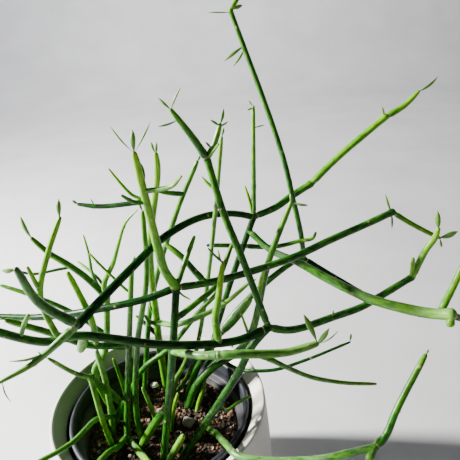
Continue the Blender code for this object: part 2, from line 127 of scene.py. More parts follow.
# ---- node helpers ---------------------------------------------------------------------------------------
class Surface:
    """A procedural material under construction: short calls that add and join nodes."""

    def __init__(self, name, roughness):
        self.material = bpy.data.materials.new(name)
        self.material.use_nodes = True
        self.nodes = self.material.node_tree.nodes
        self.shader = self.nodes["Principled BSDF"]
        self.place = self.nodes.new("ShaderNodeTexCoord").outputs["Object"]
        self.finish(Roughness=roughness)

    def feed(self, socket, value):
        """Joins another node's output to the socket, or sets the socket to a plain value."""
        if isinstance(value, bpy.types.NodeSocket):
            self.material.node_tree.links.new(value, socket)
        else:
            socket.default_value = value

    def finish(self, **inputs):
        """Feeds the shader's own inputs; an underscore stands for a space."""
        for label, value in inputs.items():
            self.feed(self.shader.inputs[label.replace("_", " ")], value)

    def add(self, kind, **inputs):
        node = self.nodes.new("ShaderNode" + kind)
        for label, value in inputs.items():
            self.feed(node.inputs[label.replace("_", " ")], value)
        return node

    def attribute(self, name, output="Fac"):
        node = self.add("Attribute")
        node.attribute_name = name
        return node.outputs[output]

    def noise(self, scale, detail=4.0, roughness=0.55, vector=None):
        node = self.add("TexNoise", Vector=vector or self.place, Scale=scale, Detail=detail,
                        Roughness=roughness)
        return node.outputs["Fac"]

    def cells(self, scale, vector=None):
        return self.add("TexVoronoi", Vector=vector or self.place, Scale=scale).outputs["Distance"]

    def stretch(self, vector, scale):
        return self.add("Mapping", Vector=vector, Scale=scale).outputs["Vector"]

    def math(self, operation, first, second=0.0, clamp=False):
        node = self.add("Math")
        node.operation = operation
        node.use_clamp = clamp
        self.feed(node.inputs[0], first)
        self.feed(node.inputs[1], second)
        return node.outputs[0]

    def times(self, first, second, clamp=False):
        return self.math("MULTIPLY", first, second, clamp)

    def span(self, value, low, high, out_low=0.0, out_high=1.0):
        """Maps low..high to out_low..out_high, held at the ends."""
        node = self.add("MapRange", Value=value, From_Min=low, From_Max=high, To_Min=out_low, To_Max=out_high)
        return node.outputs["Result"]

    def ramp(self, value, stops):
        node = self.add("ValToRGB", Fac=value)
        bar = node.color_ramp.elements
        while len(bar) < len(stops):
            bar.new(0.5)
        for element, (position, colour) in zip(bar, stops):
            element.position = position
            element.color = (*colour, 1.0)
        return node.outputs["Color"]

    def blend(self, amount, first, second, mode="MIX"):
        """Goes from the first colour to the second by the amount; each may be an output or plain."""
        node = self.add("Mix")
        node.data_type = "RGBA"
        node.blend_type = mode
        for index, value in ((0, amount), (6, first), (7, second)):
            self.feed(node.inputs[index], (*value, 1.0) if isinstance(value, (tuple, list)) else value)
        return node.outputs[2]

    def bump(self, height, strength, depth):
        node = self.add("Bump", Height=height, Strength=strength, Distance=depth)
        before = self.shader.inputs["Normal"]
        if before.links:
            self.feed(node.inputs["Normal"], before.links[0].from_socket)
        self.finish(Normal=node.outputs["Normal"])


def stem_surface(name, young, mature, old, waxy, darkest_dapple_and_shade):
    """Green skin: yellower to the tips, streaked, dappled and speckled with age, with pale leaf scars.
    The dark dapples are partly the skin's own mottle and partly painted dappled shade, deepest on old skin.

    waxy is the strength of the pale bloom, and the last argument the darkness of the dapples (skin mottle and
    painted shade) on old skin.
    """
    made = Surface(name, 0.42)
    years = made.attribute("age")
    grain = made.attribute("grain", "Vector")
    patches = made.noise(70.0, 3.0)
    streaks = made.noise(1.0, 4.0, 0.6, made.stretch(grain, (2.2, 2.2, 0.16)))
    fine = made.noise(1.0, 3.0, 0.6, made.stretch(grain, (6.0, 6.0, 1.6)))
    dapple_and_shade = made.noise(1.0, 3.0, 0.6, made.stretch(grain, (0.42, 0.42, 0.15)))
    age = made.math("ADD", years, made.span(patches, 0.3, 0.7, -0.14, 0.14))
    skin = made.ramp(age, ((0.0, young), (0.45, mature), (0.95, old)))
    shade = made.times(made.span(streaks, 0.35, 0.68, 0.80, 1.14), made.span(fine, 0.3, 0.7, 0.93, 1.05))
    # painted shade, in part: the dark dapples stand for the skin's own mottle and also for dappled shade on
    # the stems
    dark = made.span(years, 0.02, 0.45, 0.95, darkest_dapple_and_shade)
    shade = made.times(shade, made.span(dapple_and_shade, 0.42, 0.54, dark, 1.2))
    skin = made.blend(1.0, skin, shade, "MULTIPLY")
    bloom = made.times(made.span(patches, 0.42, 0.75), waxy)
    skin = made.blend(bloom, skin, (0.47, 0.62, 0.42))
    dots = made.span(made.cells(1.0, made.stretch(grain, (1.15, 1.15, 0.62))), 0.30, 0.14)
    clusters = made.noise(1.0, 2.0, 0.5, made.stretch(grain, (0.5, 0.5, 0.2)))
    dots = made.times(dots, made.span(clusters, 0.42, 0.62))
    dots = made.times(dots, made.attribute("speckle"), clamp=True)
    skin = made.blend(dots, skin, (0.26, 0.42, 0.20))
    skin = made.blend(made.span(made.attribute("scar"), 0.15, 0.75), skin, (0.50, 0.40, 0.20))
    skin = made.blend(made.span(made.attribute("bark"), 0.1, 1.0, 0.0, 0.8), skin, (0.14, 0.12, 0.05))
    made.finish(Base_Color=skin, Roughness=made.span(streaks, 0.3, 0.7, 0.28, 0.44),
                Specular_IOR_Level=made.span(years, 0.55, 0.95, 0.35, 0.08), Subsurface_Weight=0.12,
                Subsurface_Radius=GREEN_SCATTER, Subsurface_Scale=0.0015)
    made.bump(made.math("ADD", made.times(streaks, 0.7), made.times(dots, 0.5)), 0.35, 0.00022)
    return made.material


def leaf_surface():
    """Thin green blade: darker at the stalk, veined along its length, and browning at the very tip."""
    made = Surface("leaf_blade", 0.45)
    veins = made.noise(1.0, 3.0, 0.5, made.stretch(made.attribute("grain", "Vector"), (4.0, 4.0, 0.3)))
    stops = ((0.0, (0.05, 0.17, 0.01)), (0.75, (0.11, 0.28, 0.02)), (1.0, (0.22, 0.20, 0.05)))
    skin = made.ramp(made.attribute("age"), stops)
    made.finish(Base_Color=made.blend(made.span(veins, 0.35, 0.7, 0.0, 0.35), skin, (0.22, 0.40, 0.08)),
                Subsurface_Weight=0.2, Subsurface_Radius=GREEN_SCATTER, Subsurface_Scale=0.001)
    made.bump(veins, 0.3, 0.0001)
    return made.material


def planter_surface():
    """Matte cream glaze with a faint speckle, soft clouds and dust at the foot, and painted shade, dark
    olive, on the lip's inner slope at the -X side.
    """
    made = Surface("cream_ceramic", 0.62)
    x, y, z = made.add("SeparateXYZ", Vector=made.place).outputs
    clouds = made.noise(14.0, 3.0)
    pores = made.noise(900.0, 3.0, 0.6)
    specks = made.span(made.cells(420.0), 0.16, 0.08)
    body = made.blend(made.span(clouds, 0.3, 0.7), (0.80, 0.765, 0.70), (0.74, 0.70, 0.635))
    body = made.blend(made.times(specks, 0.22), body, (0.42, 0.36, 0.28))
    dust = made.times(made.span(z, 0.03, 0.0, 0.0, 0.5), made.span(made.noise(60.0, 5.0), 0.35, 0.7))
    body = made.blend(dust, body, (0.56, 0.50, 0.42))
    radius = made.math("SQRT", made.math("ADD", made.times(x, x), made.times(y, y)))
    # painted shade: the lip's inner slope on the -X side, which faces away from the key lamp, is darkened to
    # dark olive
    lip = made.span(radius, PLANTER_RIM_RADIUS - 0.0012, PLANTER_RIM_RADIUS - 0.0035)
    painted_lip_shade = made.times(lip, made.span(x, -0.030, -0.068))
    painted_lip_shade = made.times(painted_lip_shade, made.span(clouds, 0.25, 0.7, 0.86, 0.95))
    made.finish(Base_Color=made.blend(painted_lip_shade, body, (0.13, 0.15, 0.095)),
                Roughness=made.span(clouds, 0.3, 0.7, 0.5, 0.68))
    made.bump(pores, 0.25, 0.0002)
    made.bump(made.noise(38.0, 2.0), 0.25, 0.0006)
    return made.material


def plastic_surface():
    """Black nursery plastic: satin, scuffed, with a film of pale dust just above the soil."""
    made = Surface("black_grow_plastic", 0.4)
    z = made.add("SeparateXYZ", Vector=made.place).outputs[2]
    scuffs = made.noise(1.0, 5.0, 0.65, made.stretch(made.place, (90.0, 90.0, 700.0)))
    film = made.noise(55.0, 5.0, 0.6)
    near_soil = made.span(z, SOIL_TOP + 0.012, SOIL_TOP - 0.001)
    dust = made.times(near_soil, made.span(film, 0.35, 0.7, 0.0, 0.5))
    base = made.blend(made.span(scuffs, 0.55, 0.8), (0.014, 0.016, 0.022), (0.050, 0.054, 0.064))
    made.finish(Base_Color=made.blend(dust, base, (0.16, 0.12, 0.085)),
                Roughness=made.span(film, 0.3, 0.7, 0.42, 0.6), Specular_IOR_Level=0.3)
    made.bump(scuffs, 0.3, 0.0001)
    made.bump(made.noise(1500.0, 2.0), 0.2, 0.00006)
    return made.material


def mineral_surface(name, colours, roughness, pits, bump_depth):
    """Grain or stone: each grain takes its own tone, with mottling, pits per metre and a rough face."""
    made = Surface(name, roughness)
    last = max(1, len(colours) - 1)
    body = made.ramp(made.attribute("tone"), [(i / last, colour) for i, colour in enumerate(colours)])
    mottle = made.noise(pits * 0.35, 4.0, 0.6)
    holes = made.cells(pits)
    body = made.blend(made.span(mottle, 0.35, 0.7, 0.0, 0.45), body, [0.35 * c for c in colours[0]])
    # painted shade: the pits are darkened in colour as well as sunk by the bump
    body = made.blend(made.span(holes, 0.25, 0.05, 0.0, 0.5), body, [0.25 * c for c in colours[0]])
    made.finish(Base_Color=body)
    made.bump(made.noise(pits * 1.6, 5.0, 0.7), 0.5, bump_depth)
    made.bump(holes, 0.5, bump_depth)
    return made.material


SKINS = {
    GREEN: stem_surface("stem_skin_green", (0.09, 0.28, 0.001), (0.018, 0.140, 0.002), (0.003, 0.038, 0.003),
                        0.0, 0.42),
    LIME: stem_surface("stem_skin_lime", (0.22, 0.47, 0.001), (0.09, 0.32, 0.001), (0.018, 0.12, 0.002),
                       0.0, 0.72),
    PALE: stem_surface("stem_skin_pale", (0.17, 0.40, 0.02), (0.07, 0.26, 0.015), (0.020, 0.10, 0.015),
                       0.15, 0.5),
}
LEAF_SKIN = leaf_surface()


# ---- mesh helpers ---------------------------------------------------------------------------------------
def shown(name, verts, faces, surface):
    """A smooth-shaded piece of the object that rides on the root body."""
    mesh = bpy.data.meshes.new(name)
    mesh.from_pydata([tuple(v) for v in verts], [], faces)
    mesh.shade_smooth()
    mesh.materials.append(surface)
    piece = bpy.data.objects.new(name, mesh)
    bpy.context.scene.collection.objects.link(piece)
    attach(piece, "root")
    return piece


def point_values(piece, **columns):
    """Stores one number or one vector for each vertex, for the material to read."""
    for name, values in columns.items():
        values = np.asarray(values, dtype=np.float32)
        kind = "FLOAT_VECTOR" if values.ndim == 2 else "FLOAT"
        layer = piece.data.attributes.new(name, kind, "POINT")
        layer.data.foreach_set("vector" if values.ndim == 2 else "value", values.ravel())


def arc(centre_radius, centre_z, radius, start, end, steps):
    """Points round a circle in the (radius, z) plane; angles in turns, 0 pointing out, 0.25 up."""
    angles = np.linspace(start, end, steps + 1) * 2 * pi
    return [(centre_radius + radius * cos(a), centre_z + radius * sin(a)) for a in angles]


def tube_faces(rows, sides):
    """Faces between rings of points, closed at both ends onto two last points."""
    faces = []
    for row in range(rows - 1):
        for step in range(sides):
            here = row * sides + step
            beside = row * sides + (step + 1) % sides
            faces.append((here, beside, beside + sides, here + sides))
    start, bottom = rows * sides, (rows - 1) * sides
    for step in range(sides):
        after = (step + 1) % sides
        faces.append((start, after, step))
        faces.append((start + 1, bottom + step, bottom + after))
    return faces


def turned(name, profile, surface):
    """A closed (radius, z) profile from axis to axis, turned about Z, with single points on the axis."""
    rings = profile[1:-1]
    angles = np.arange(ROUND_STEPS) * 2 * pi / ROUND_STEPS
    verts = [(r * cos(a), r * sin(a), z) for r, z in rings for a in angles]
    verts += [(0.0, 0.0, profile[0][1]), (0.0, 0.0, profile[-1][1])]
    piece = shown(name, verts, tube_faces(len(rings), ROUND_STEPS), surface)
    face_out(piece)
    return piece


def face_out(piece):
    sketch = bmesh.new()
    sketch.from_mesh(piece.data)
    bmesh.ops.recalc_face_normals(sketch, faces=sketch.faces)
    sketch.to_mesh(piece.data)
    sketch.free()


# ---- holder ---------------------------------------------------------------------------------------------
def planter():
    """Cream planter: bellied wall, rounded rim, and a conical lip that slopes in to the opening."""
    rim, corner, edge = PLANTER_RIM_RADIUS, PLANTER_CORNER, LIP_EDGE
    foot = rim - PLANTER_FOOT_INSET
    lip_z = RIM_TOP - PLANTER_LIP_DROP
    outside = [(rim + PLANTER_BELLY * sin(pi * s) - PLANTER_FOOT_INSET * (1 - s) ** 3, RIM_TOP * s)
               for s in np.linspace(0.06, 0.93, 40)]
    profile = [(0.0, PLANTER_FLOOR), (FLAT_CENTRE, PLANTER_FLOOR)]
    profile += arc(foot - PLANTER_WALL - corner, PLANTER_FLOOR + corner, corner, -0.25, 0.0, 8)
    profile += [(r - PLANTER_WALL, z) for r, z in outside if PLANTER_FLOOR + corner < z < lip_z - 2 * corner]
    profile += [(rim - PLANTER_WALL, lip_z - PLANTER_WALL)]
    profile += arc(LIP_OPENING + edge, lip_z - edge, edge, 0.62, 0.375, 8)
    profile += arc(rim - RIM_THICKNESS, RIM_TOP - RIM_THICKNESS, RIM_THICKNESS, 0.375, 0.0, 10)
    profile += outside[::-1]
    profile += arc(foot - PLANTER_HEEL, PLANTER_HEEL, PLANTER_HEEL, 0.0, -0.25, 10)
    profile += [(FLAT_CENTRE, 0.0), (0.0, 0.0)]
    piece = turned("planter_shell", profile, planter_surface())
    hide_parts("planter")


def pot_outer_radius(z):
    body_top = POT_TOP - POT_COLLAR_HEIGHT
    top_radius = POT_RIM_RADIUS - POT_ROLL + POT_WALL - POT_COLLAR_STEP
    share = (z - POT_FOOT) / (body_top - POT_FOOT)
    return POT_BASE_RADIUS + (top_radius - POT_BASE_RADIUS) * share


def nursery_pot():
    """Black grow pot: tapered body, stepped collar with a faint moulded ring, and a rolled rim."""
    rim, base, wall, ease, roll = POT_RIM_RADIUS, POT_BASE_RADIUS, POT_WALL, POT_EASE, POT_ROLL / 2
    body_top = POT_TOP - POT_COLLAR_HEIGHT
    floor_z = POT_FOOT + wall
    step_z = body_top + wall * 1.6
    ring_z = POT_TOP - POT_RING_DROP
    roll_z = POT_TOP - POT_ROLL_DROP
    collar = rim - POT_ROLL + wall
    inside = collar - wall
    body = pot_outer_radius(body_top)
    profile = [(0.0, floor_z), (POT_FLAT_CENTRE, floor_z)]
    profile += [(base - wall - ease, floor_z), (base - wall, floor_z + ease)]
    profile += [(body - wall, body_top + wall - ease), (body - wall + ease, body_top + wall)]
    profile += [(inside - ease, step_z), (inside, step_z + ease)]
    profile += [(inside, ring_z - 0.0008), (inside - 0.0005, ring_z), (inside, ring_z + 0.0008)]
    profile += arc(rim - roll, POT_TOP - roll, roll, 0.5, 0.0, 14)
    profile += [(rim, roll_z + ease), (rim - ease, roll_z)]
    profile += [(collar, roll_z), (collar, body_top + ease), (collar - ease, body_top)]
    profile += [(body, body_top - wall), (base, POT_FOOT + ease)]
    profile += [(base - ease, POT_FOOT), (POT_FLAT_CENTRE, POT_FOOT), (0.0, POT_FOOT)]
    piece = turned("nursery_pot_shell", profile, plastic_surface())
    drills = []
    for index in range(DRAIN_HOLE_COUNT):
        turn = 2 * pi * index / DRAIN_HOLE_COUNT
        ring = base * 0.6
        bpy.ops.mesh.primitive_cylinder_add(vertices=32, radius=DRAIN_HOLE_RADIUS, depth=wall * 6,
                                            location=(ring * cos(turn), ring * sin(turn), POT_FOOT))
        drills.append(bpy.context.object)
        cut = piece.modifiers.new(f"drain_{index}", "BOOLEAN")
        cut.operation = "DIFFERENCE"
        cut.object = drills[-1]
    apply_modifiers(piece)
    for drill in drills:
        bpy.data.objects.remove(drill)
    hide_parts("nursery_pot")


def apply_modifiers(piece):
    """Turns the piece's evaluated shape into its own mesh."""
    bpy.context.view_layer.update()
    graph = bpy.context.evaluated_depsgraph_get()
    mesh = bpy.data.meshes.new_from_object(piece.evaluated_get(graph))
    piece.modifiers.clear()
    piece.data = mesh


# ---- soil and stones ------------------------------------------------------------------------------------
def soil_height(x, y):
    """The fine soil's surface: gently heaped, lowest where the water runs, with small lumps."""
    heap = noise.noise(Vector((x * 28, y * 28, 4.0)))
    lumps = noise.noise(Vector((x * 190, y * 190, 9.0)))
    return SOIL_TOP - SOIL_SINK + SOIL_HEAP * heap + SOIL_LUMP * lumps


def fine_soil():
    """The dark fine part of the mix, as one body that fills the pot."""
    steps, rings = 160, 70
    angles = np.arange(steps) * 2 * pi / steps
    wall = SOIL_RADIUS - 0.0002
    verts = [(0.0, 0.0, soil_height(0.0, 0.0))]
    for ring in range(1, rings + 1):
        radius = wall * ring / rings
        for a in angles:
            x, y = radius * cos(a), radius * sin(a)
            verts.append((x, y, soil_height(x, y)))
    for z, radius in ((SOIL_FOOT + 0.002, SOIL_FOOT_RADIUS + 0.0003), (SOIL_FOOT, SOIL_FOOT_RADIUS - 0.001)):
        verts += [(radius * cos(a), radius * sin(a), z) for a in angles]
    verts.append((0.0, 0.0, SOIL_FOOT))
    faces = [(0, 1 + s, 1 + (s + 1) % steps) for s in range(steps)]
    for ring in range(rings + 1):
        for s in range(steps):
            here, beside = 1 + ring * steps + s, 1 + ring * steps + (s + 1) % steps
            faces.append((here, here + steps, beside + steps, beside))
    last = 1 + (rings + 1) * steps
    faces += [(len(verts) - 1, last + (s + 1) % steps, last + s) for s in range(steps)]
    browns = [(0.030, 0.018, 0.012), (0.050, 0.030, 0.018)]
    mix = mineral_surface("fine_potting_mix", browns, 0.95, 700.0, 0.0006)
    piece = shown("fine_soil", verts, faces, mix)
    point_values(piece, tone=np.random.default_rng(2).uniform(0, 1, len(verts)))
    face_out(piece)
    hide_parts("soil")


def lump_template(detail):
    sketch = bmesh.new()
    bmesh.ops.create_icosphere(sketch, subdivisions=detail, radius=1.0)
    verts = np.array([v.co[:] for v in sketch.verts])
    faces = [[v.index for v in f.verts] for f in sketch.faces]
    sketch.free()
    return verts, faces


def worn(verts, rough, angular):
    """A lump's corners moved in and out, and cut by a few flat breaks."""
    shift = Vector(rough.uniform(-50, 50, 3))
    swell = [1 + 0.34 * noise.noise(Vector(v) * 1.3 + shift) + 0.10 * noise.noise(Vector(v) * 4 + shift)
             for v in verts]
    out = verts * np.array(swell)[:, None]
    for _ in range(angular):
        way = rough.normal(size=3)
        way /= np.linalg.norm(way)
        over = np.maximum(out @ way - rough.uniform(0.55, 0.85), 0.0)
        out -= over[:, None] * way
    return out


def random_turn(rough):
    turn = np.linalg.qr(rough.normal(size=(3, 3)))[0]
    return turn * np.sign(np.linalg.det(turn))


def stem_feet():
    """(x, y) of every stem where it passes through the grains."""
    near = [line[::4] for line in routes.values()]
    return np.array([point[:2] for line in near for point in line if point[2] < SOIL_TOP + 0.003])


def grains(name, count, sizes, surface, seed, lift, detail=1):
    """Loose grains of one kind, spread over the soil and kept out of the stems and the pot's wall."""
    rough = np.random.default_rng(seed)
    template, template_faces = lump_template(detail)
    feet = stem_feet()
    verts, faces, tones = [], [], []
    while len(tones) < count:
        size = rough.uniform(*sizes)
        out = (SOIL_RADIUS - size - GRAIN_ROOM) * rough.uniform(0, 1) ** 0.5
        way = rough.uniform(0, 2 * pi)
        x, y = out * cos(way), out * sin(way)
        gaps = np.hypot(feet[:, 0] - x, feet[:, 1] - y) - STEM_RADIUS
        tone = rough.uniform(0, 1)
        squash = rough.uniform(0.6, 1.0)
        body = worn(template, rough, 4) @ random_turn(rough) * (size, size, size * squash)
        if gaps.min() < size * 0.75:
            continue
        centre = (x, y, soil_height(x, y) + size * rough.uniform(*lift))
        base = len(tones) * len(template)
        verts.append(body + centre)
        faces += [[base + i for i in face] for face in template_faces]
        tones.append(tone)
    piece = shown(name, np.concatenate(verts), faces, surface)
    point_values(piece, tone=np.repeat(tones, len(template)))
    face_out(piece)


def big_stone(name, node, surface, seed, angular):
    """A stone that is modelled whole: worn at a fine scale inside its solid's box."""
    rough = np.random.default_rng(seed)
    template, faces = lump_template(5)
    low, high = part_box(node)
    centre, half = (low + high) / 2, (high - low) / 2
    body = worn(template, rough, angular)
    grit = [0.035 * noise.noise(Vector(v) * 9) + 0.016 * noise.noise(Vector(v) * 26) for v in body]
    body += np.array(grit)[:, None] * template
    body = (body - (body.max(0) + body.min(0)) / 2) / ((body.max(0) - body.min(0)) / 2)
    piece = shown(name, body * half + centre, faces, surface)
    point_values(piece, tone=np.full(len(template), 0.5))
    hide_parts(node)


# ---- stems ----------------------------------------------------------------------------------------------
# Ages at the start and the end, where 1 is full age. Partly real age and partly painted shade: the darkest
# arms at the front and left, such as front_left_arm, left_long_arm and left_crossing_arm, get dark old skin
# for the shade they sit in.
AGE_AND_PAINTED_SHADE = {
    "front_left_arm": (1.0, 0.55),
    "front_right_main": (0.60, 0.80),
    "front_centre_main": (0.55, 0.90),
    "left_long_arm": (1.0, 0.80),
    "left_crossing_arm": (0.85, 1.0),
    "left_near_tip": (0.62, 0.30),
    "right_dark_arm": (1.0, 0.90),
    "back_right_main": (0.75, 0.90),
    "bright_riser_side_shoot": (0.95, 0.70),
    "right_hanging_arm": (0.90, 0.70),
    "right_pale_arm": (0.95, 0.08),
}
SPECKLED = ("speckled_main", "left_speckled_arm", "back_centre_main", "front_right_main", "right_low_arm",
            "right_pale_arm")

routes = {}      # stem name: its whole smooth line
girths = {}      # stem name: radius at the start and at the end


def place(point):
    """A drawn point, in millimetres from the middle of the soil's surface, in the object's own frame."""
    x, y, z = point
    return np.array((x * SPREAD, y * SPREAD, z * MM + SOIL_TOP))


def smooth_line(points, per_span=24):
    """A centripetal Catmull-Rom curve through the points."""
    def between(first, last, start, end, t):
        return first + (last - first) * (t - start) / (end - start)

    points = [np.asarray(point, dtype=float) for point in points]
    line = [2 * points[0] - points[1]] + points + [2 * points[-1] - points[-2]]
    out = []
    for a, b, c, d in zip(line, line[1:], line[2:], line[3:]):
        tb = np.linalg.norm(b - a) ** 0.5
        tc = tb + np.linalg.norm(c - b) ** 0.5
        td = tc + np.linalg.norm(d - c) ** 0.5
        for t in np.linspace(tb, tc, per_span, endpoint=False):
            ab, bc, cd = between(a, b, 0, tb, t), between(b, c, tb, tc, t), between(c, d, tc, td, t)
            out.append(between(between(ab, bc, 0, tc, t), between(bc, cd, tb, td, t), tb, tc, t))
    out.append(points[-1])
    return np.array(out)


def lengths_along(line):
    return np.concatenate(([0.0], np.cumsum(np.linalg.norm(np.diff(line, axis=0), axis=1))))


def points_at(line, distances):
    along = lengths_along(line)
    return np.stack([np.interp(distances, along, line[:, axis]) for axis in range(3)], axis=1)


def extended(line, before, after):
    """The line made longer, straight on, at either end."""
    if before:
        back = line[0] - line[1]
        line = np.concatenate(([line[0] + back / np.linalg.norm(back) * before], line))
    if after:
        ahead = line[-1] - line[-2]
        line = np.concatenate((line, [line[-1] + ahead / np.linalg.norm(ahead) * after]))
    return line


def cross_axes(centres):
    """Two axes across the line at each point, carried along it without twist."""
    ahead = np.gradient(centres, axis=0)
    ahead /= np.linalg.norm(ahead, axis=1)[:, None]
    side = np.array(Vector(ahead[0]).orthogonal().normalized())
    sides = []
    for way in ahead:
        side = side - way * (side @ way)
        side /= np.linalg.norm(side)
        sides.append(side)
    sides = np.array(sides)
    return sides, np.cross(ahead, sides)


def seeded(name, step):
    """Random draws that depend only on a piece's name."""
    return np.random.default_rng(sum(ord(letter) * (i + step) for i, letter in enumerate(name)))


def swelling(stations, at, reach, amount):
    """The girth's factor round one place: a rise, or with a negative amount a crease."""
    return 1.0 + amount * np.exp(-((stations - at) / reach) ** 2)


def skin_girth(stations, whole, emerges, radius, cap, tip, main, drift):
    """Radius at each station: the taper, a knuckle or a growing point, a crease at the foot, faint waves."""
    share = np.clip((stations - emerges) / max(whole - emerges, 1e-4), 0.0, 1.0)
    body = radius[0] + (radius[1] - radius[0]) * share
    body *= 1.0 + 0.055 * np.sin(share * pi) * (1.0 if tip else 0.6)
    if tip:
        last = np.clip((whole - stations) / min(GROWING_TAPER, whole * 0.35), 0.0, 1.0)
        body *= 0.66 + 0.34 * np.sin(last * pi / 2) ** 0.8
    else:
        body *= swelling(stations, whole - radius[1], KNUCKLE_REACH, 0.10)
    if not main:
        body *= swelling(stations, emerges, CREASE_REACH, -0.14)
        body *= swelling(stations, emerges + KNUCKLE_REACH, 0.0022, 0.06)
    over = np.clip((stations - (whole - cap)) / cap, 0.0, 1.0)
    body *= np.sqrt(np.maximum(1.0 - over ** 2, 0.0))
    body *= [1.0 + 0.05 * noise.noise(Vector((s * 75, drift, 0.0))) for s in stations]
    return share, body


def leaf_scars(around, along, body, emerges, whole, rough):
    """Scars in a spiral up the stem: how strongly each point is marked, and how far it stands out."""
    mark = np.zeros_like(along)
    rise = np.zeros_like(along)
    at = emerges + rough.uniform(*SCAR_FIRST)
    where = rough.uniform(0, 2 * pi)
    while at < whole - SCAR_FIRST[0]:
        off = np.angle(np.exp(1j * (around - where))) * body[:, None]
        near = np.exp(-((along - at) / SCAR_HEIGHT) ** 2 - (off / SCAR_WIDTH) ** 2)
        mark = np.maximum(mark, near * rough.uniform(0.5, 1.0))
        rise += near * SCAR_RISE
        at += rough.uniform(*SCAR_SPACING)
        where += SCAR_TURN
    return mark, rise


def skin(name, slot, line, radius, tip, emerges, main, age, speckle):
    """A stem's waxy skin: a tapering tube with leaf scars, a knuckle or a growing point, and a creased foot.

    radius is at the start and the end, emerges how far along the line it comes out of its bearer or the soil,
    age from 0 to 1 at the start and the end, and speckle how strongly it is dotted.
    """
    rough = seeded(name, 3)
    drift = rough.uniform(-9, 9)
    line = extended(line, ROOT_DEPTH if main else 0.0, 0.0 if tip else radius[1] * 0.92)
    whole = lengths_along(line)[-1]
    emerges += ROOT_DEPTH if main else 0.0
    cap = radius[1] * (0.7 if tip else 1.0)
    stations = np.linspace(0.0, whole - cap, max(4, round((whole - cap) / RING_STEP)))
    stations = np.concatenate((stations, whole - cap + cap * np.sin(np.linspace(0, pi / 2, 8)[1:-1])))
    share, body = skin_girth(stations, whole, emerges, radius, cap, tip, main, drift)

    around, along = np.meshgrid(np.arange(RING_SIDES) * 2 * pi / RING_SIDES, stations)
    ridges = 1.0 + 0.012 * np.cos(5 * around + drift) + 0.008 * np.cos(9 * around + along * 60)
    scar, rise = leaf_scars(around, along, body, emerges, whole, rough)
    wide = body[:, None] * ridges + rise * np.clip(body[:, None] / MM, 0, 1)
    if not main:
        scar = np.maximum(scar, 0.55 * np.exp(-((along - emerges + 0.0002) / 0.0006) ** 2))
    if not tip:
        scar = np.maximum(scar, 0.75 * np.clip((along - whole + radius[1] * 0.25) / (radius[1] * 0.3), 0, 1))
    bark = np.zeros_like(stations)
    if main:
        bark = np.clip(1.0 - (stations - emerges) / 0.012, 0.0, 1.0) ** 2
    if tip:
        bark = 0.8 * np.clip(1.0 - (whole - stations) / 0.0016, 0.0, 1.0)

    centres = points_at(line, stations)
    sides, others = cross_axes(centres)
    x, y = wide * np.cos(around), wide * np.sin(around)
    ring = centres[:, None] + x[..., None] * sides[:, None] + y[..., None] * others[:, None]
    grain = np.stack((x, y, along), axis=2).reshape(-1, 3) / MM
    verts = np.concatenate((ring.reshape(-1, 3), points_at(line, [0.0, whole])))
    piece = shown(name + "_skin", verts, tube_faces(len(stations), RING_SIDES), SKINS[slot])
    columns = {
        "grain": grain,
        "age": np.repeat(age[0] + (age[1] - age[0]) * share, RING_SIDES),
        "scar": scar.ravel(),
        "bark": np.repeat(bark, RING_SIDES),
    }
    ended = {label: np.concatenate((values, values[:1], values[-1:])) for label, values in columns.items()}
    point_values(piece, speckle=np.full(len(verts), speckle), **ended)
    return piece


def stem(name, slot, bearer, share, girth, points, tip=False):
    """One segment between two joints, as in the solids: it grows from share of the way along its bearer."""
    placed = [place(point) for point in points]
    radius = [STEM_RADIUS * value for value in girth]
    emerges = 0.0
    if bearer:
        borne = routes[bearer]
        placed.insert(0, points_at(borne, [lengths_along(borne)[-1] * share])[0])
    line = smooth_line(placed)
    if bearer:
        start, end = girths[bearer]
        gaps = np.linalg.norm(line[:, None] - borne[None], axis=2).min(axis=1)
        outside = np.nonzero(gaps > start + (end - start) * share)[0]
        emerges = lengths_along(line)[outside[0]] if len(outside) else 0.0
    routes[name] = line
    girths[name] = radius
    height = np.clip((line[-1][2] - SOIL_TOP) / YOUNG_HEIGHT, 0.0, 1.0)
    usual = (0.52 if bearer else 0.62, (0.10 if tip else 0.52) * (1.1 - 0.5 * height))
    speckle = 0.9 if name in SPECKLED else 0.25 if bearer else 0.5
    piece = skin(name, slot, line, radius, tip, emerges, not bearer, AGE_AND_PAINTED_SHADE.get(name, usual), speckle)
    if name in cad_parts:
        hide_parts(name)


def shoot(*segment):
    """A segment that ends in a growing point."""
    stem(*segment, tip=True)


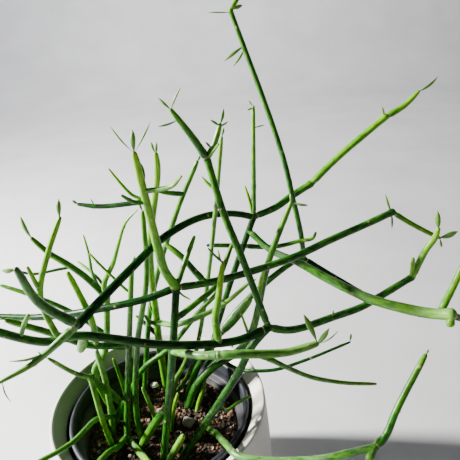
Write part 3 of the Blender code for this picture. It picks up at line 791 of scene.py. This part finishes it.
def leaf(name, bearer, share, tip_point, width):
    """A small narrow blade: folded along its midrib, curling back a little, with a short stalk."""
    rough = seeded(name, 5)
    borne = routes[bearer]
    foot = points_at(borne, [lengths_along(borne)[-1] * share])[0]
    if share == 1:
        ahead = borne[-1] - borne[-2]
        foot = foot - ahead / np.linalg.norm(ahead) * LEAF_SINK
    reach = place(tip_point) - foot
    length = np.linalg.norm(reach)
    along = Vector(reach / length)
    flat = along.cross(Vector((rough.uniform(-0.5, 0.5), 1.0, rough.uniform(-0.3, 0.6)))).normalized()
    up = flat.cross(along)
    rows, columns = 14, 7
    shares = np.linspace(0.0, 1.0, rows)
    across = np.linspace(-1.0, 1.0, columns)
    widest = rough.uniform(0.85, 1.9)
    outline = np.maximum(0.20, np.sin(pi * shares ** widest) ** 0.6) * (1.0 - 0.6 * shares ** 8)
    half = 1.25 * width * MM / 2 * outline
    verts, grain = [], []
    for side in (1, -1):
        for s, h in zip(shares, half):
            bend = length * (LEAF_CURL * s * s - LEAF_ARCH * sin(pi * s))
            for c in across:
                fold = LEAF_FOLD * h * abs(c)
                thick = side * LEAF_THICKNESS / 2 * (1.0 - 0.7 * c * c)
                verts.append(Vector(foot) + along * length * s + flat * h * c + up * (fold + bend + thick))
                grain.append((h * c / MM, 0.0, length * s / MM))
    faces = []
    layer = rows * columns
    for row in range(rows - 1):
        for column in range(columns - 1):
            here = row * columns + column
            quad = (here, here + 1, here + 1 + columns, here + columns)
            faces.append(quad)
            faces.append(tuple(layer + i for i in quad[::-1]))
        for column in (0, columns - 1):
            here = row * columns + column
            faces.append((here, here + columns, layer + here + columns, layer + here))
    for row in (0, rows - 1):
        for column in range(columns - 1):
            here = row * columns + column
            faces.append((here, here + 1, layer + here + 1, layer + here))
    piece = shown(name, verts, faces, LEAF_SKIN)
    point_values(piece, grain=grain, age=np.tile(np.repeat(shares, columns), 2))
    face_out(piece)
    return piece


planter()
nursery_pot()

# Front right: a main stem that forks into a left arm across the front, a riser and a right arm.
stem("front_right_main", GREEN, None, 0, (1.0, 0.97),
     [(18, -33, 0), (39, -30, 32), (69, -24, 79), (80, -22, 101), (93, -20, 116)])
shoot("front_left_arm", GREEN, "front_right_main", 1, (1.0, 0.93),
      [(72, -28, 113), (50, -36, 117), (16, -44, 126), (-33, -56, 147), (-54, -60, 147), (-86, -70, 169)])
stem("centre_riser", GREEN, "front_right_main", 1, (0.87, 0.83), [(76, -6, 171), (66, 2, 200), (57, 12, 238)])
shoot("centre_riser_tip", GREEN, "centre_riser", 1, (0.93, 0.6), [(50, 10, 252), (36, 5, 276)])
shoot("centre_riser_fork", PALE, "centre_riser", 1, (0.73, 0.6), [(63, 14, 249), (68, 16, 262)])
stem("right_low_arm", GREEN, "front_right_main", 1, (0.97, 0.93),
     [(106, -18, 111), (118, -13, 108), (143, -4, 109), (169, 6, 110), (184, 12, 114), (214, 24, 123)])
shoot("right_low_arm_tip", LIME, "right_low_arm", 1, (0.97, 0.7),
      [(222, 22, 149), (227, 21, 159), (229, 20, 169)])
shoot("lime_shoot", LIME, "front_left_arm", 0.2, (0.97, 0.6),
      [(55, -30, 135), (58, -28, 148), (63, -22, 175)])
shoot("left_upright_shoot", LIME, "front_left_arm", 0.75, (0.67, 0.53),
      [(-51, -55, 169), (-51, -53, 181), (-41, -49, 207), (-31, -45, 227)])

# Front centre: the upright stem with the thick bright riser and the long arms to both sides.
stem("front_centre_main", GREEN, None, 0, (1.0, 0.97),
     [(3, -34, 0), (12, -30, 50), (21, -25, 103), (28, -12, 151)])
shoot("bright_riser", LIME, "front_centre_main", 1, (1.1, 0.75),
      [(22, -16, 168), (20, -18, 186), (18, -22, 214), (15, -28, 259)])
stem("right_long_arm", GREEN, "front_centre_main", 1, (0.93, 0.95),
     [(45, -8, 150), (67, 0, 149), (115, 16, 153), (148, 27, 161), (182, 39, 168), (201, 45, 173)])
shoot("right_long_arm_tip", LIME, "right_long_arm", 1, (0.7, 0.57),
      [(214, 43, 164), (235, 39, 152), (240, 37, 150)])
shoot("left_long_arm", GREEN, "front_centre_main", 1, (0.93, 0.83),
      [(8, -14, 145), (-22, -12, 138), (-80, 7, 120), (-139, 24, 113)])
stem("front_pale_arm", PALE, "front_centre_main", 0.68, (0.87, 0.97),
     [(33, -35 - ABREAST, 114), (44, -44 - ABREAST, 119), (55, -48 - ABREAST, 122)])
shoot("front_pale_arm_tip", PALE, "front_pale_arm", 1, (1.03, 0.87),
      [(71, -49 - ABREAST, 122), (102, -49, 116), (126, -44, 118)])
shoot("centre_cross_arm", GREEN, "front_centre_main", 0.84, (0.8, 0.53),
      [(44, -6, 135), (55, 1, 141), (71, 20, 168)])
shoot("bright_riser_side_shoot", GREEN, "bright_riser", 0.68, (0.57, 0.5),
      [(-15, -14, 219), (-31, -10, 220)])

# Back right: a main stem whose head carries the crossing arm, the long high arm and a riser.
stem("back_right_main", GREEN, None, 0, (0.9, 0.87),
     [(26, 38, 0), (41, 40, 31), (47, 48, 51), (66, 53, 109), (90, 60, 170)])
stem("left_crossing_arm", GREEN, "back_right_main", 1, (0.9, 0.97),
     [(71, 45, 181), (48, 26, 188), (23, 2, 186), (1, -29, 178), (-24, -76, 170)])
shoot("left_near_tip", GREEN, "left_crossing_arm", 1, (1.0, 0.67),
      [(-39, -84, 192), (-43, -92, 220)])
shoot("left_low_tip", PALE, "left_crossing_arm", 1, (0.87, 0.33),
      [(-50, -89, 154), (-70, -100, 149)])
stem("right_high_arm", GREEN, "back_right_main", 1, (0.97, 0.97),
     [(109, 63, 176), (122, 65, 184), (139, 68, 193)])
stem("right_high_arm_middle", LIME, "right_high_arm", 1, (0.97, 0.9), [(162, 73, 213), (201, 80, 242)])
shoot("right_high_arm_tip", LIME, "right_high_arm_middle", 1, (0.87, 0.6),
      [(216, 83, 249), (229, 86, 260)])
shoot("back_riser", PALE, "back_right_main", 1, (0.7, 0.5), [(92, 66, 217), (94, 72, 260)])
stem("right_pale_arm", PALE, "back_right_main", 0.93, (0.9, 1.37),
     [(102, 44, 146), (122, 32, 140), (146, 15, 131), (173, -4, 124),
      (192, -16, 123), (209, -28, 125), (220, -36, 129)])
shoot("right_pale_arm_fork", LIME, "right_pale_arm", 0.95, (0.87, 0.7),
      [(224, -24, 143), (234, -18, 165)])

# Back centre: the stem that carries the tallest riser.
stem("back_centre_main", GREEN, None, 0, (1.05, 0.83),
     [(16, 35, 0), (23, 33, 15), (35, 33, 42), (74, 44, 91), (120, 57, 124), (132, 60, 127)])
stem("tall_riser", GREEN, "back_centre_main", 1, (0.77, 0.6),
     [(129, 56, 152), (121, 52, 191), (116, 54, 216), (106, 57, 251), (80, 64, 329)])
shoot("tall_riser_tip", LIME, "tall_riser", 1, (0.57, 0.3), [(85, 65, 336), (94, 66, 348)])
shoot("right_dark_arm", GREEN, "back_centre_main", 1, (0.77, 0.63), [(155, 56, 111), (186, 50, 91)])
shoot("speckled_main", GREEN, None, 0, (1.3, 0.7),
      [(21, 24, 0), (30, 25, 22), (48, 27, 42), (68, 26, 56),
      (81, 26, 74), (99, 32, 142), (119, 38, 192)])
shoot("right_hanging_arm", GREEN, "speckled_main", 0.27, (0.57, 0.37),
      [(67, 22, 42), (79, 12, 47), (100, 7, 51), (125, 7, 59), (162, 5, 77)])

# Back and middle: slender uprights.
shoot("back_slender_main", PALE, None, 0, (0.7, 0.5),
      [(8, 40, 0), (24, 38, 27), (38, 34, 77), (57, 24, 178), (68, 22, 251)])
shoot("back_left_main", GREEN, None, 0, (0.83, 0.63),
      [(-22, 41, 0), (-1, 39, 108), (30, 37, 191), (49, 36, 230)])
shoot("lime_main", LIME, None, 0, (1.15, 0.73),
      [(-2, 51, 0), (-1, 43, 52), (1, 37, 86), (7, 21, 165), (23, 4, 235), (24, 0, 249)])
shoot("pale_cross_arm", PALE, "lime_main", 0.34, (0.87, 0.53),
      [(24, 12, 101), (59, 14, 115), (83, 18, 133)])
shoot("back_cross_main", GREEN, None, 0, (0.87, 0.6),
      [(-38, 36, 0), (-17, 34, 38), (8, 30, 61), (41, 21, 107), (54, 22, 120), (62, 22, 136)])

# Left: uprights near the front left rim, and the arms that leave them.
shoot("left_front_main", GREEN, None, 0, (0.93, 0.63),
      [(-30, -11, 0), (-26, -8, 31), (-15, 0, 102), (-5, 6, 163)])
shoot("left_speckled_arm", GREEN, "left_front_main", 0.57, (0.97, 0.8),
      [(-48, -2, 97), (-71, -3, 110), (-105, -5, 128)])
shoot("left_centre_main", GREEN, None, 0, (0.87, 0.6),
      [(-18, -12, 0), (-18, -10, 33), (-9, -5, 96), (5, 0, 152), (9, 5, 206)])
stem("left_back_main", LIME, None, 0, (0.95, 0.85),
     [(-47, 20, 0), (-54, 16, 54), (-42, 16, 75), (-31, 15, 129)])
shoot("left_back_arm", GREEN, "left_back_main", 1, (0.93, 0.7),
      [(-46, 20, 146), (-57, 22, 156), (-72, 26, 166), (-85, 30, 179)])
shoot("left_back_low_arm", GREEN, "left_back_main", 0.72, (0.73, 0.53),
      [(-66, 23, 113), (-96, 29, 127), (-122, 35, 135)])
stem("left_low_main", LIME, None, 0, (0.73, 0.67), [(-41, -18, 0), (-38, -35, 50), (-43, -26, 85)])
shoot("left_low_main_tip", PALE, "left_low_main", 1, (0.63, 0.47), [(-53, -28, 92), (-68, -32, 111)])

# Low stems that lean out over the rims.
shoot("left_rim_stem", GREEN, None, 0, (0.7, 0.6),
      [(-36, 17, 0), (-42, -8, 25), (-46, -30, 45), (-56, -61, 55), (-78, -79, 57)])
shoot("front_low_stem", GREEN, "left_front_main", 0.03, (0.87, 0.63),
      [(-33, -29, 13), (-36, -48, 28), (-41, -87, 48), (-46, -111, 63)])
stem("right_rim_stem", PALE, None, 0, (0.83, 0.83),
     [(39, -4, 0), (47, -27, 19), (56, -57, 41), (66, -74, 47), (113, -87, 55), (154, -92, 69)])
shoot("right_rim_stem_tip", GREEN, "right_rim_stem", 1, (0.83, 0.67),
      [(162, -88, 75), (170, -81, 89), (192, -65, 121)])

# Twigs and short stems without a solid: bearer, skin, where along the bearer, radii in mm, points.
TWIGS = (
    ("right_low_arm", LIME, 1, (1.83, 1.54), [(211, 18, 145)]),
    ("back_centre_main", GREEN, 0.43, (3.29, 3.22), [(67, 34, 84), (83, 29, 110)]),
    ("bright_riser", GREEN, 0.77, (1.34, 0.98), [(17, -19, 244), (13, -15, 251)]),
    ("front_centre_main", GREEN, 1, (2.07, 1.54), [(37, -5, 171), (44, 2, 185)]),
    ("front_centre_main", GREEN, 1, (0.73, 0.7), [(32, -16, 147), (38, -20, 145)]),
    ("back_right_main", LIME, 1, (1.59, 1.12), [(87, 62, 185), (84, 65, 196)]),
    ("right_pale_arm", LIME, 1, (2.93, 2.66), [(218, -40, 121)]),
    ("right_pale_arm", PALE, 1, (2.44, 1.82), [(229, -32, 122), (240, -26, 116)]),
    ("speckled_main", LIME, 0.59, (1.95, 1.4), [(91, 25, 125), (94, 21, 141)]),
    ("back_right_main", GREEN, 0.85, (2.2, 1.4), [(107, 55, 143), (128, 53, 148), (138, 52, 150),
     (141, 52, 156)]),
    ("back_right_main", GREEN, 0.85, (2.07, 1.68), [(61, 43, 154), (50, 35, 159)]),
    ("lime_shoot", GREEN, 1, (0.85, 0.7), [(58, -24, 182), (54, -26, 189)]),
    ("centre_riser", LIME, 0.82, (1.22, 0.84), [(55, 11, 222), (52, 14, 225)]),
    ("centre_riser", LIME, 1, (1.1, 0.84), [(61, 8, 244), (66, 4, 251)]),
    ("bright_riser", PALE, 0.75, (1.83, 0.98), [(28, -29, 234), (36, -33, 237), (43, -38, 245)]),
    ("back_left_main", GREEN, 0.88, (1.95, 1.68), [(28, 29, 208), (19, 20, 214)]),
    ("right_long_arm", GREEN, 0.12, (2.44, 2.1), [(42, -2, 157), (33, 5, 166), (20, 13, 175)]),
    ("bright_riser", LIME, 0.69, (1.1, 0.84), [(9, -21, 228), (2, -19, 236), (-5, -15, 245)]),
    ("bright_riser", GREEN, 0.67, (1.34, 1.12), [(10, -27, 226), (4, -32, 233)]),
    ("left_back_main", LIME, 1, (2.32, 0.7), [(-31, 14, 141), (-20, 12, 162), (-13, 10, 179), (-5, 8, 196),
     (5, 7, 206)]),
    ("left_upright_shoot", LIME, 0.4, (1.46, 1.26), [(-52, -55, 190), (-53, -57, 201)]),
    ("left_back_arm", GREEN, 0.48, (1.22, 0.98), [(-65, 21, 154), (-85, 18, 153), (-98, 17, 158)]),
    ("left_back_main", PALE, 1, (1.22, 1.12), [(-36, 24, 138), (-47, 33, 145), (-57, 41, 149)]),
    ("left_back_main", PALE, 1, (1.59, 0.84), [(-39, 22, 138), (-43, 28, 146), (-45, 36, 158),
     (-49, 45, 171)]),
    ("left_front_main", LIME, 0.85, (1.1, 0.98), [(-13, 5, 142), (-22, 9, 151), (-32, 13, 162),
     (-38, 16, 169)]),
    ("left_speckled_arm", LIME, 0.26, (2.68, 2.1), [(-42, 1, 117), (-48, 4, 140), (-54, 6, 160)]),
    ("front_left_arm", PALE, 0.87, (1.46, 1.4), [(-62, -63, 163), (-57, -63, 171)]),
    ("left_low_main", GREEN, 1, (2.93, 2.93), [(-43, -11, 63), (-41, 7, 36), (-39, 28, 1)]),
    ("front_left_arm", PALE, 0.67, (3.17, 3.17), [(-33, -52, 137), (-37, -49, 129)]),
    ("soil", PALE, 0, (2.68, 2.24), [(-44, -1, 0), (-42, -1, 26), (-41, -1, 59), (-43, -1, 91)]),
    ("soil", GREEN, 0, (1.83, 1.4), [(-36, 31, 0), (-38, 31, 29), (-41, 31, 55)]),
    ("left_front_main", GREEN, 0.27, (3.05, 3.05), [(-34, 0, 24), (-44, 7, 0)]),
    ("left_front_main", PALE, 0.01, (2.81, 2.38), [(-17, -30, 8), (-3, -53, 19)]),
    ("front_centre_main", GREEN, 0.35, (3.29, 3.29), [(2, -26, 37), (-17, -19, 1)]),
    ("soil", PALE, 0, (1.95, 1.54), [(-6, 3, 0), (-8, 3, 18), (-13, 3, 45)]),
    ("lime_main", LIME, 0.34, (1.22, 0.98), [(0, 35, 95), (-2, 32, 107)]),
    ("lime_main", GREEN, 0.33, (1.95, 1.54), [(-4, 34, 89), (-7, 29, 100)]),
    ("lime_main", GREEN, 0.27, (2.2, 1.4), [(-9, 44, 78), (-19, 48, 87)]),
    ("soil", PALE, 0, (2.44, 1.82), [(5, 35, 0), (11, 35, 22), (18, 35, 35), (27, 35, 55)]),
    ("soil", LIME, 0, (2.07, 1.54), [(7, -1, 0), (11, -1, 21), (17, -1, 40)]),
    ("speckled_main", LIME, 0.17, (1.95, 1.95), [(36, 23, 21), (32, 20, 10), (28, 16, -1)]),
    ("front_right_main", GREEN, 0.45, (1.34, 1.26), [(57, -24, 40), (66, -20, 43), (78, -16, 47)]),
    ("soil", PALE, 0, (3.05, 2.52), [(7, -38, 0), (13, -38, 13), (23, -38, 32)]),
    ("speckled_main", LIME, 0.43, (1.22, 0.98), [(77, 23, 87), (74, 20, 102)]),
    ("front_pale_arm_tip", PALE, 0.36, (1.83, 1.26), [(93, -52, 112), (105, -50, 102), (121, -48, 91),
     (146, -44, 80), (170, -41, 74)]),
    ("right_rim_stem", PALE, 1, (2.44, 2.38), [(152, -94, 67), (148, -98, 63)]),
)
for index, (bearer, slot, share, radii, points) in enumerate(TWIGS):
    girth = [radius * MM / STEM_RADIUS for radius in radii]
    shoot(f"twig_{index + 1:02d}", slot, None if bearer == "soil" else bearer, share, girth, points)

fine_soil()
AKADAMA = mineral_surface("akadama_clay", [(0.12, 0.052, 0.018), (0.25, 0.115, 0.045), (0.17, 0.085, 0.04)],
                          0.9, 1100.0, 0.0003)
PUMICE = mineral_surface("pale_pumice", [(0.55, 0.48, 0.36), (0.34, 0.26, 0.16), (0.40, 0.27, 0.16)],
                         0.9, 1400.0, 0.0003)
CRUMBS = mineral_surface("dark_crumbs", [(0.022, 0.013, 0.008), (0.06, 0.033, 0.018), (0.08, 0.05, 0.03)],
                         0.92, 1300.0, 0.0003)
WHITE = mineral_surface("white_pumice_chunk", [(0.86, 0.83, 0.77), (0.80, 0.76, 0.70)], 0.85, 900.0, 0.0005)
BROWN = mineral_surface("grey_brown_stone", [(0.30, 0.26, 0.20), (0.42, 0.37, 0.30)], 0.85, 700.0, 0.0006)
grains("crumbs", 2400, (0.0006, 0.0016), CRUMBS, 11, (0.0, 0.5))
grains("clay_grains", 420, (0.0008, 0.0022), AKADAMA, 12, (0.1, 0.7), detail=2)
grains("pumice_grains", 130, (0.0008, 0.0022), PUMICE, 13, (0.2, 0.8), detail=2)
grains("dark_grains", 420, (0.0010, 0.0023), CRUMBS, 14, (0.1, 0.7), detail=2)
big_stone("white_pumice_chunk", "white_pumice", WHITE, 21, 5)
big_stone("grey_brown_stone", "grey_stone", BROWN, 22, 3)

# The leaves of each bearer: share of the way along it, tip, width in mm, and for four of them their solid.
LEAVES = (
    ("bright_riser", (1, (16, -28, 272), 2.6, "bright_riser_leaf"), (1, (2, -24, 274), 1.0),
     (1, (28, -32, 277), 1.0)),
    ("centre_riser_tip", (0.79, (27, 2, 265), 1.4), (1, (28, 9, 283), 1.6), (1, (44, 2, 289), 1.2)),
    ("centre_riser_fork", (0.96, (71, 18, 271), 1.8), (0.91, (61, 14, 265), 1.4), (0.89, (73, 13, 263), 1.2)),
    ("centre_riser", (1, (52, 9, 246), 1.2)),
    ("centre_riser_fork", (0.29, (57, 10, 251), 1.3)),
    ("right_high_arm_tip", (1, (244, 88, 269), 2.4)),
    ("right_high_arm_middle", (1, (197, 78, 251), 1.4)),
    ("right_long_arm", (1, (193, 42, 190), 1.6), (1, (201, 42, 159), 1.5)),
    ("right_low_arm_tip", (1, (226, 20, 183), 3.4, "right_low_leaf")),
    ("right_long_arm_tip", (1, (252, 35, 156), 4.4, "right_long_leaf"), (1, (240, 34, 143), 1.8)),
    ("tall_riser", (1, (64, 61, 329), 0.8)),
    ("tall_riser_tip", (0.05, (89, 66, 332), 2.2)),
    ("tall_riser", (0.88, (73, 59, 296), 2.0), (0.87, (79, 64, 290), 1.5)),
    ("back_riser", (1, (89, 69, 257), 1.4), (1, (90, 74, 264), 1.2), (0.81, (102, 68, 245), 1.0)),
    ("back_left_main", (1, (44, 33, 223), 1.2), (1, (52, 38, 234), 1.4)),
    ("lime_main", (1, (21, 2, 256), 1.6), (1, (26, -3, 257), 1.4)),
    ("left_back_arm", (1, (-89, 30, 197), 3.0)),
    ("left_upright_shoot", (1, (-30, -45, 238), 2.4), (0.41, (-53, -56, 178), 1.2)),
    ("left_low_tip", (0.38, (-63, -90, 156), 2.6), (0.91, (-64, -100, 136), 0.9)),
    ("left_near_tip", (1, (-53, -88, 216), 2.6)),
    ("front_pale_arm_tip", (1, (116, -42, 141), 3.4, "front_pale_leaf"), (1, (132, -47, 132), 3.0),
     (1, (140, -41, 124), 1.6)),
    ("right_hanging_arm", (1, (162, 5, 85), 1.6)),
    ("speckled_main", (1, (131, 34, 188), 2.2), (1, (118, 40, 197), 1.6)),
    ("bright_riser_side_shoot", (1, (-34, -10, 223), 1.6), (0.73, (-20, -15, 225), 1.0)),
    ("right_rim_stem", (1, (156, -90, 76), 1.2)),
    ("right_rim_stem_tip", (1, (193, -66, 125), 1.6)),
    ("left_low_main_tip", (0.96, (-74, -32, 117), 1.4), (0.65, (-63, -33, 108), 1.2)),
    ("lime_shoot", (1, (60, -20, 184), 1.6), (0.58, (64, -31, 147), 1.2)),
    ("back_slender_main", (1, (70, 22, 257), 1.4)),
    ("tall_riser_tip", (0.8, (96, 66, 350), 1.6)),
    ("left_back_low_arm", (0.73, (-100, 26, 135), 1.2)),
    ("right_pale_arm", (1, (220, -38, 128), 1.4)),
    ("right_pale_arm_fork", (1, (234, -18, 173), 1.8)),
    ("centre_cross_arm", (1, (75, 20, 173), 1.4)),
    ("pale_cross_arm", (1, (88, 18, 135), 1.4)),
    ("left_centre_main", (1, (7, 5, 212), 1.5)),
    ("left_front_main", (1, (-2, 6, 169), 1.5)),
    ("right_dark_arm", (1, (191, 50, 86), 1.5)),
    ("left_speckled_arm", (1, (-109, -5, 132), 1.5)),
    ("front_left_arm", (0.14, (65, -35, 111), 1.0)),
    ("right_low_arm", (0.41, (144, -7, 118), 1.2)),
    ("left_crossing_arm", (0.59, (10, -15, 188), 1.0)),
)
blades = [(bearer, *row) for bearer, *rows in LEAVES for row in rows]
for index, (bearer, share, tip_point, width, *nodes) in enumerate(blades):
    blade = leaf(f"leaf_{index + 1:02d}", bearer, share, tip_point, width)
    for node in nodes:
        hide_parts(node)


# ---- studio ---------------------------------------------------------------------------------------------
def studio_floor():
    """Pale floor that sweeps up into a wall well behind the plant."""
    turn_at, bend, height, half = 1.9, 0.8, 4.0, 6.0
    line = [(-5.0, 0.0), (turn_at, 0.0)]
    line += [(turn_at + bend * sin(a), bend * (1 - cos(a))) for a in np.linspace(0, pi / 2, 24)[1:]]
    line += [(turn_at + bend, height)]
    verts = [(side * half, y, z) for y, z in line for side in (-1, 1)]
    faces = [(2 * i, 2 * i + 1, 2 * i + 3, 2 * i + 2) for i in range(len(line) - 1)]
    mesh = bpy.data.meshes.new("studio_floor")
    mesh.from_pydata(verts, [], faces)
    mesh.shade_smooth()
    floor = bpy.data.objects.new("studio_floor", mesh)
    bpy.context.scene.collection.objects.link(floor)
    made = Surface("pale_floor", 0.85)
    clouds = made.span(made.noise(6.0, 5.0), 0.35, 0.7)
    made.finish(Base_Color=made.blend(clouds, (0.62, 0.62, 0.63), (0.70, 0.70, 0.71)))
    made.bump(made.noise(220.0, 4.0), 0.15, 0.0005)
    floor.data.materials.append(made.material)


def lamp(name, at, aim, size, energy, colour):
    data = bpy.data.lights.new(name, "AREA")
    data.shape = "DISK"
    data.size = size
    data.energy = energy
    data.color = colour
    light = bpy.data.objects.new(name, data)
    light.location = at
    light.rotation_euler = (Vector(aim) - Vector(at)).to_track_quat("-Z", "Y").to_euler()
    bpy.context.scene.collection.objects.link(light)


def camera():
    pitch, roll = np.radians(CAMERA_PITCH), np.radians(CAMERA_ROLL)
    ahead = Vector((0.0, cos(pitch), -sin(pitch)))
    right = Vector((1.0, 0.0, 0.0))
    up = right.cross(ahead)
    across = right * cos(roll) + up * sin(roll)
    above = up * cos(roll) - right * sin(roll)
    data = bpy.data.cameras.new("camera")
    data.sensor_width = 36.0
    data.lens = CAMERA_LENS
    data.clip_start = 0.01
    view = bpy.data.objects.new("camera", data)
    view.matrix_world = Matrix.Translation(CAMERA_AT) @ Matrix((across, above, -ahead)).transposed().to_4x4()
    bpy.context.scene.collection.objects.link(view)
    bpy.context.scene.camera = view


studio_floor()
middle = (0.04, 0.0, 0.24)
lamp("window_key", (-1.08, 0.16, 0.70), middle, 0.12, 98.0, (1.0, 0.985, 0.95))
lamp("front_fill", (0.9, -1.1, 0.9), middle, 1.6, 1.0, (0.93, 0.96, 1.0))
lamp("wall_wash", (-0.5, 1.1, 1.7), (-0.4, 3.0, 0.7), 1.2, 60.0, (0.97, 0.98, 1.0))
world = bpy.data.worlds.new("studio_air")
world.use_nodes = True
world.node_tree.nodes["Background"].inputs["Color"].default_value = (0.93, 0.95, 1.0, 1.0)
world.node_tree.nodes["Background"].inputs["Strength"].default_value = 0.08
bpy.context.scene.world = world
camera()
